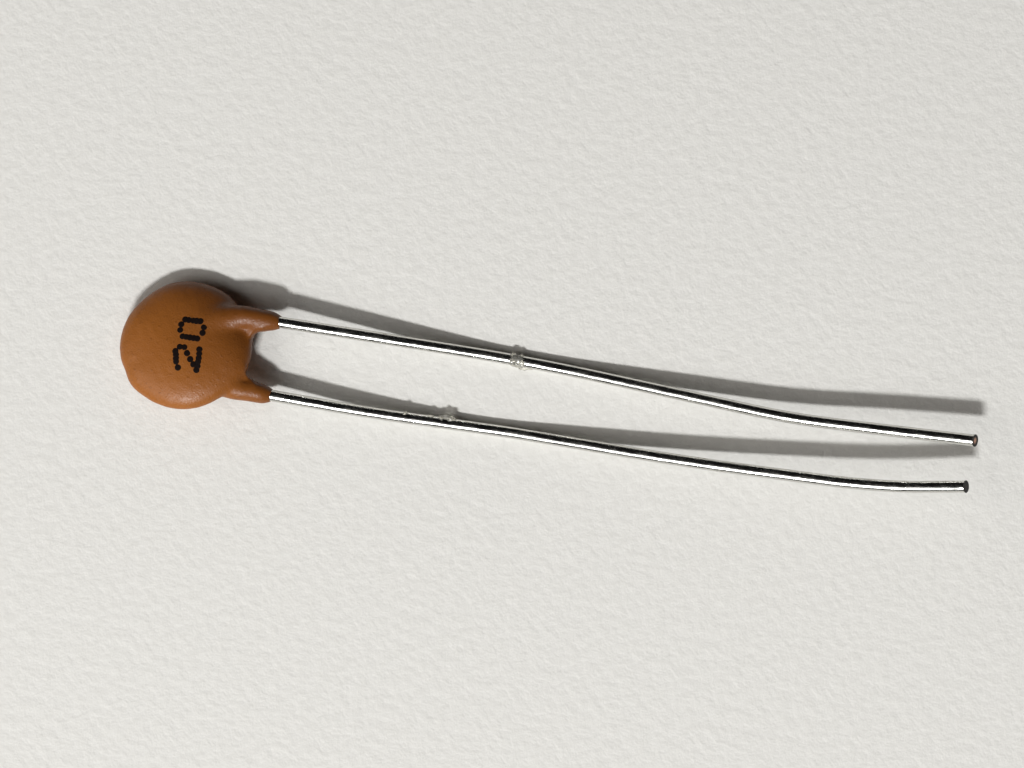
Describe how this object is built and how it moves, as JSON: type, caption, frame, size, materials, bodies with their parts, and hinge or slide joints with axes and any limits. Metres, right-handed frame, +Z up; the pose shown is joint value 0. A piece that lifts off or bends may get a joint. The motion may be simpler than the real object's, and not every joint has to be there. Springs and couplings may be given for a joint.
{
  "type": "ceramic disc capacitor",
  "caption": "Small dipped ceramic disc capacitor with long, slightly bent wire leads that leave one side, for storing charge in a circuit.",
  "frame": {"origin": "middle of the part's footprint, on the surface that it lies on", "axes": "+X from the coated disc towards the lead tips, +Y across the leads towards the front lead, +Z up"},
  "size_m": [0.0292, 0.0044, 0.0018],
  "materials": {
    "ceramic": "fired titanate ceramic, matt tan",
    "silver_film": "fired silver film, matt",
    "solder": "tin solder, satin",
    "tinned_wire": "bright tinned copper-clad steel wire, lightly scuffed",
    "dipped_coating": "dipped brown phenolic resin, satin"
  },
  "bodies": {
    "root": {"ceramic_disc": "ceramic", "front_electrode": "silver_film", "back_electrode": "silver_film", "front_solder": "solder", "back_solder": "solder", "front_lead": "tinned_wire", "back_lead": "tinned_wire", "coating": "dipped_coating"}
  },
  "joints": []
}
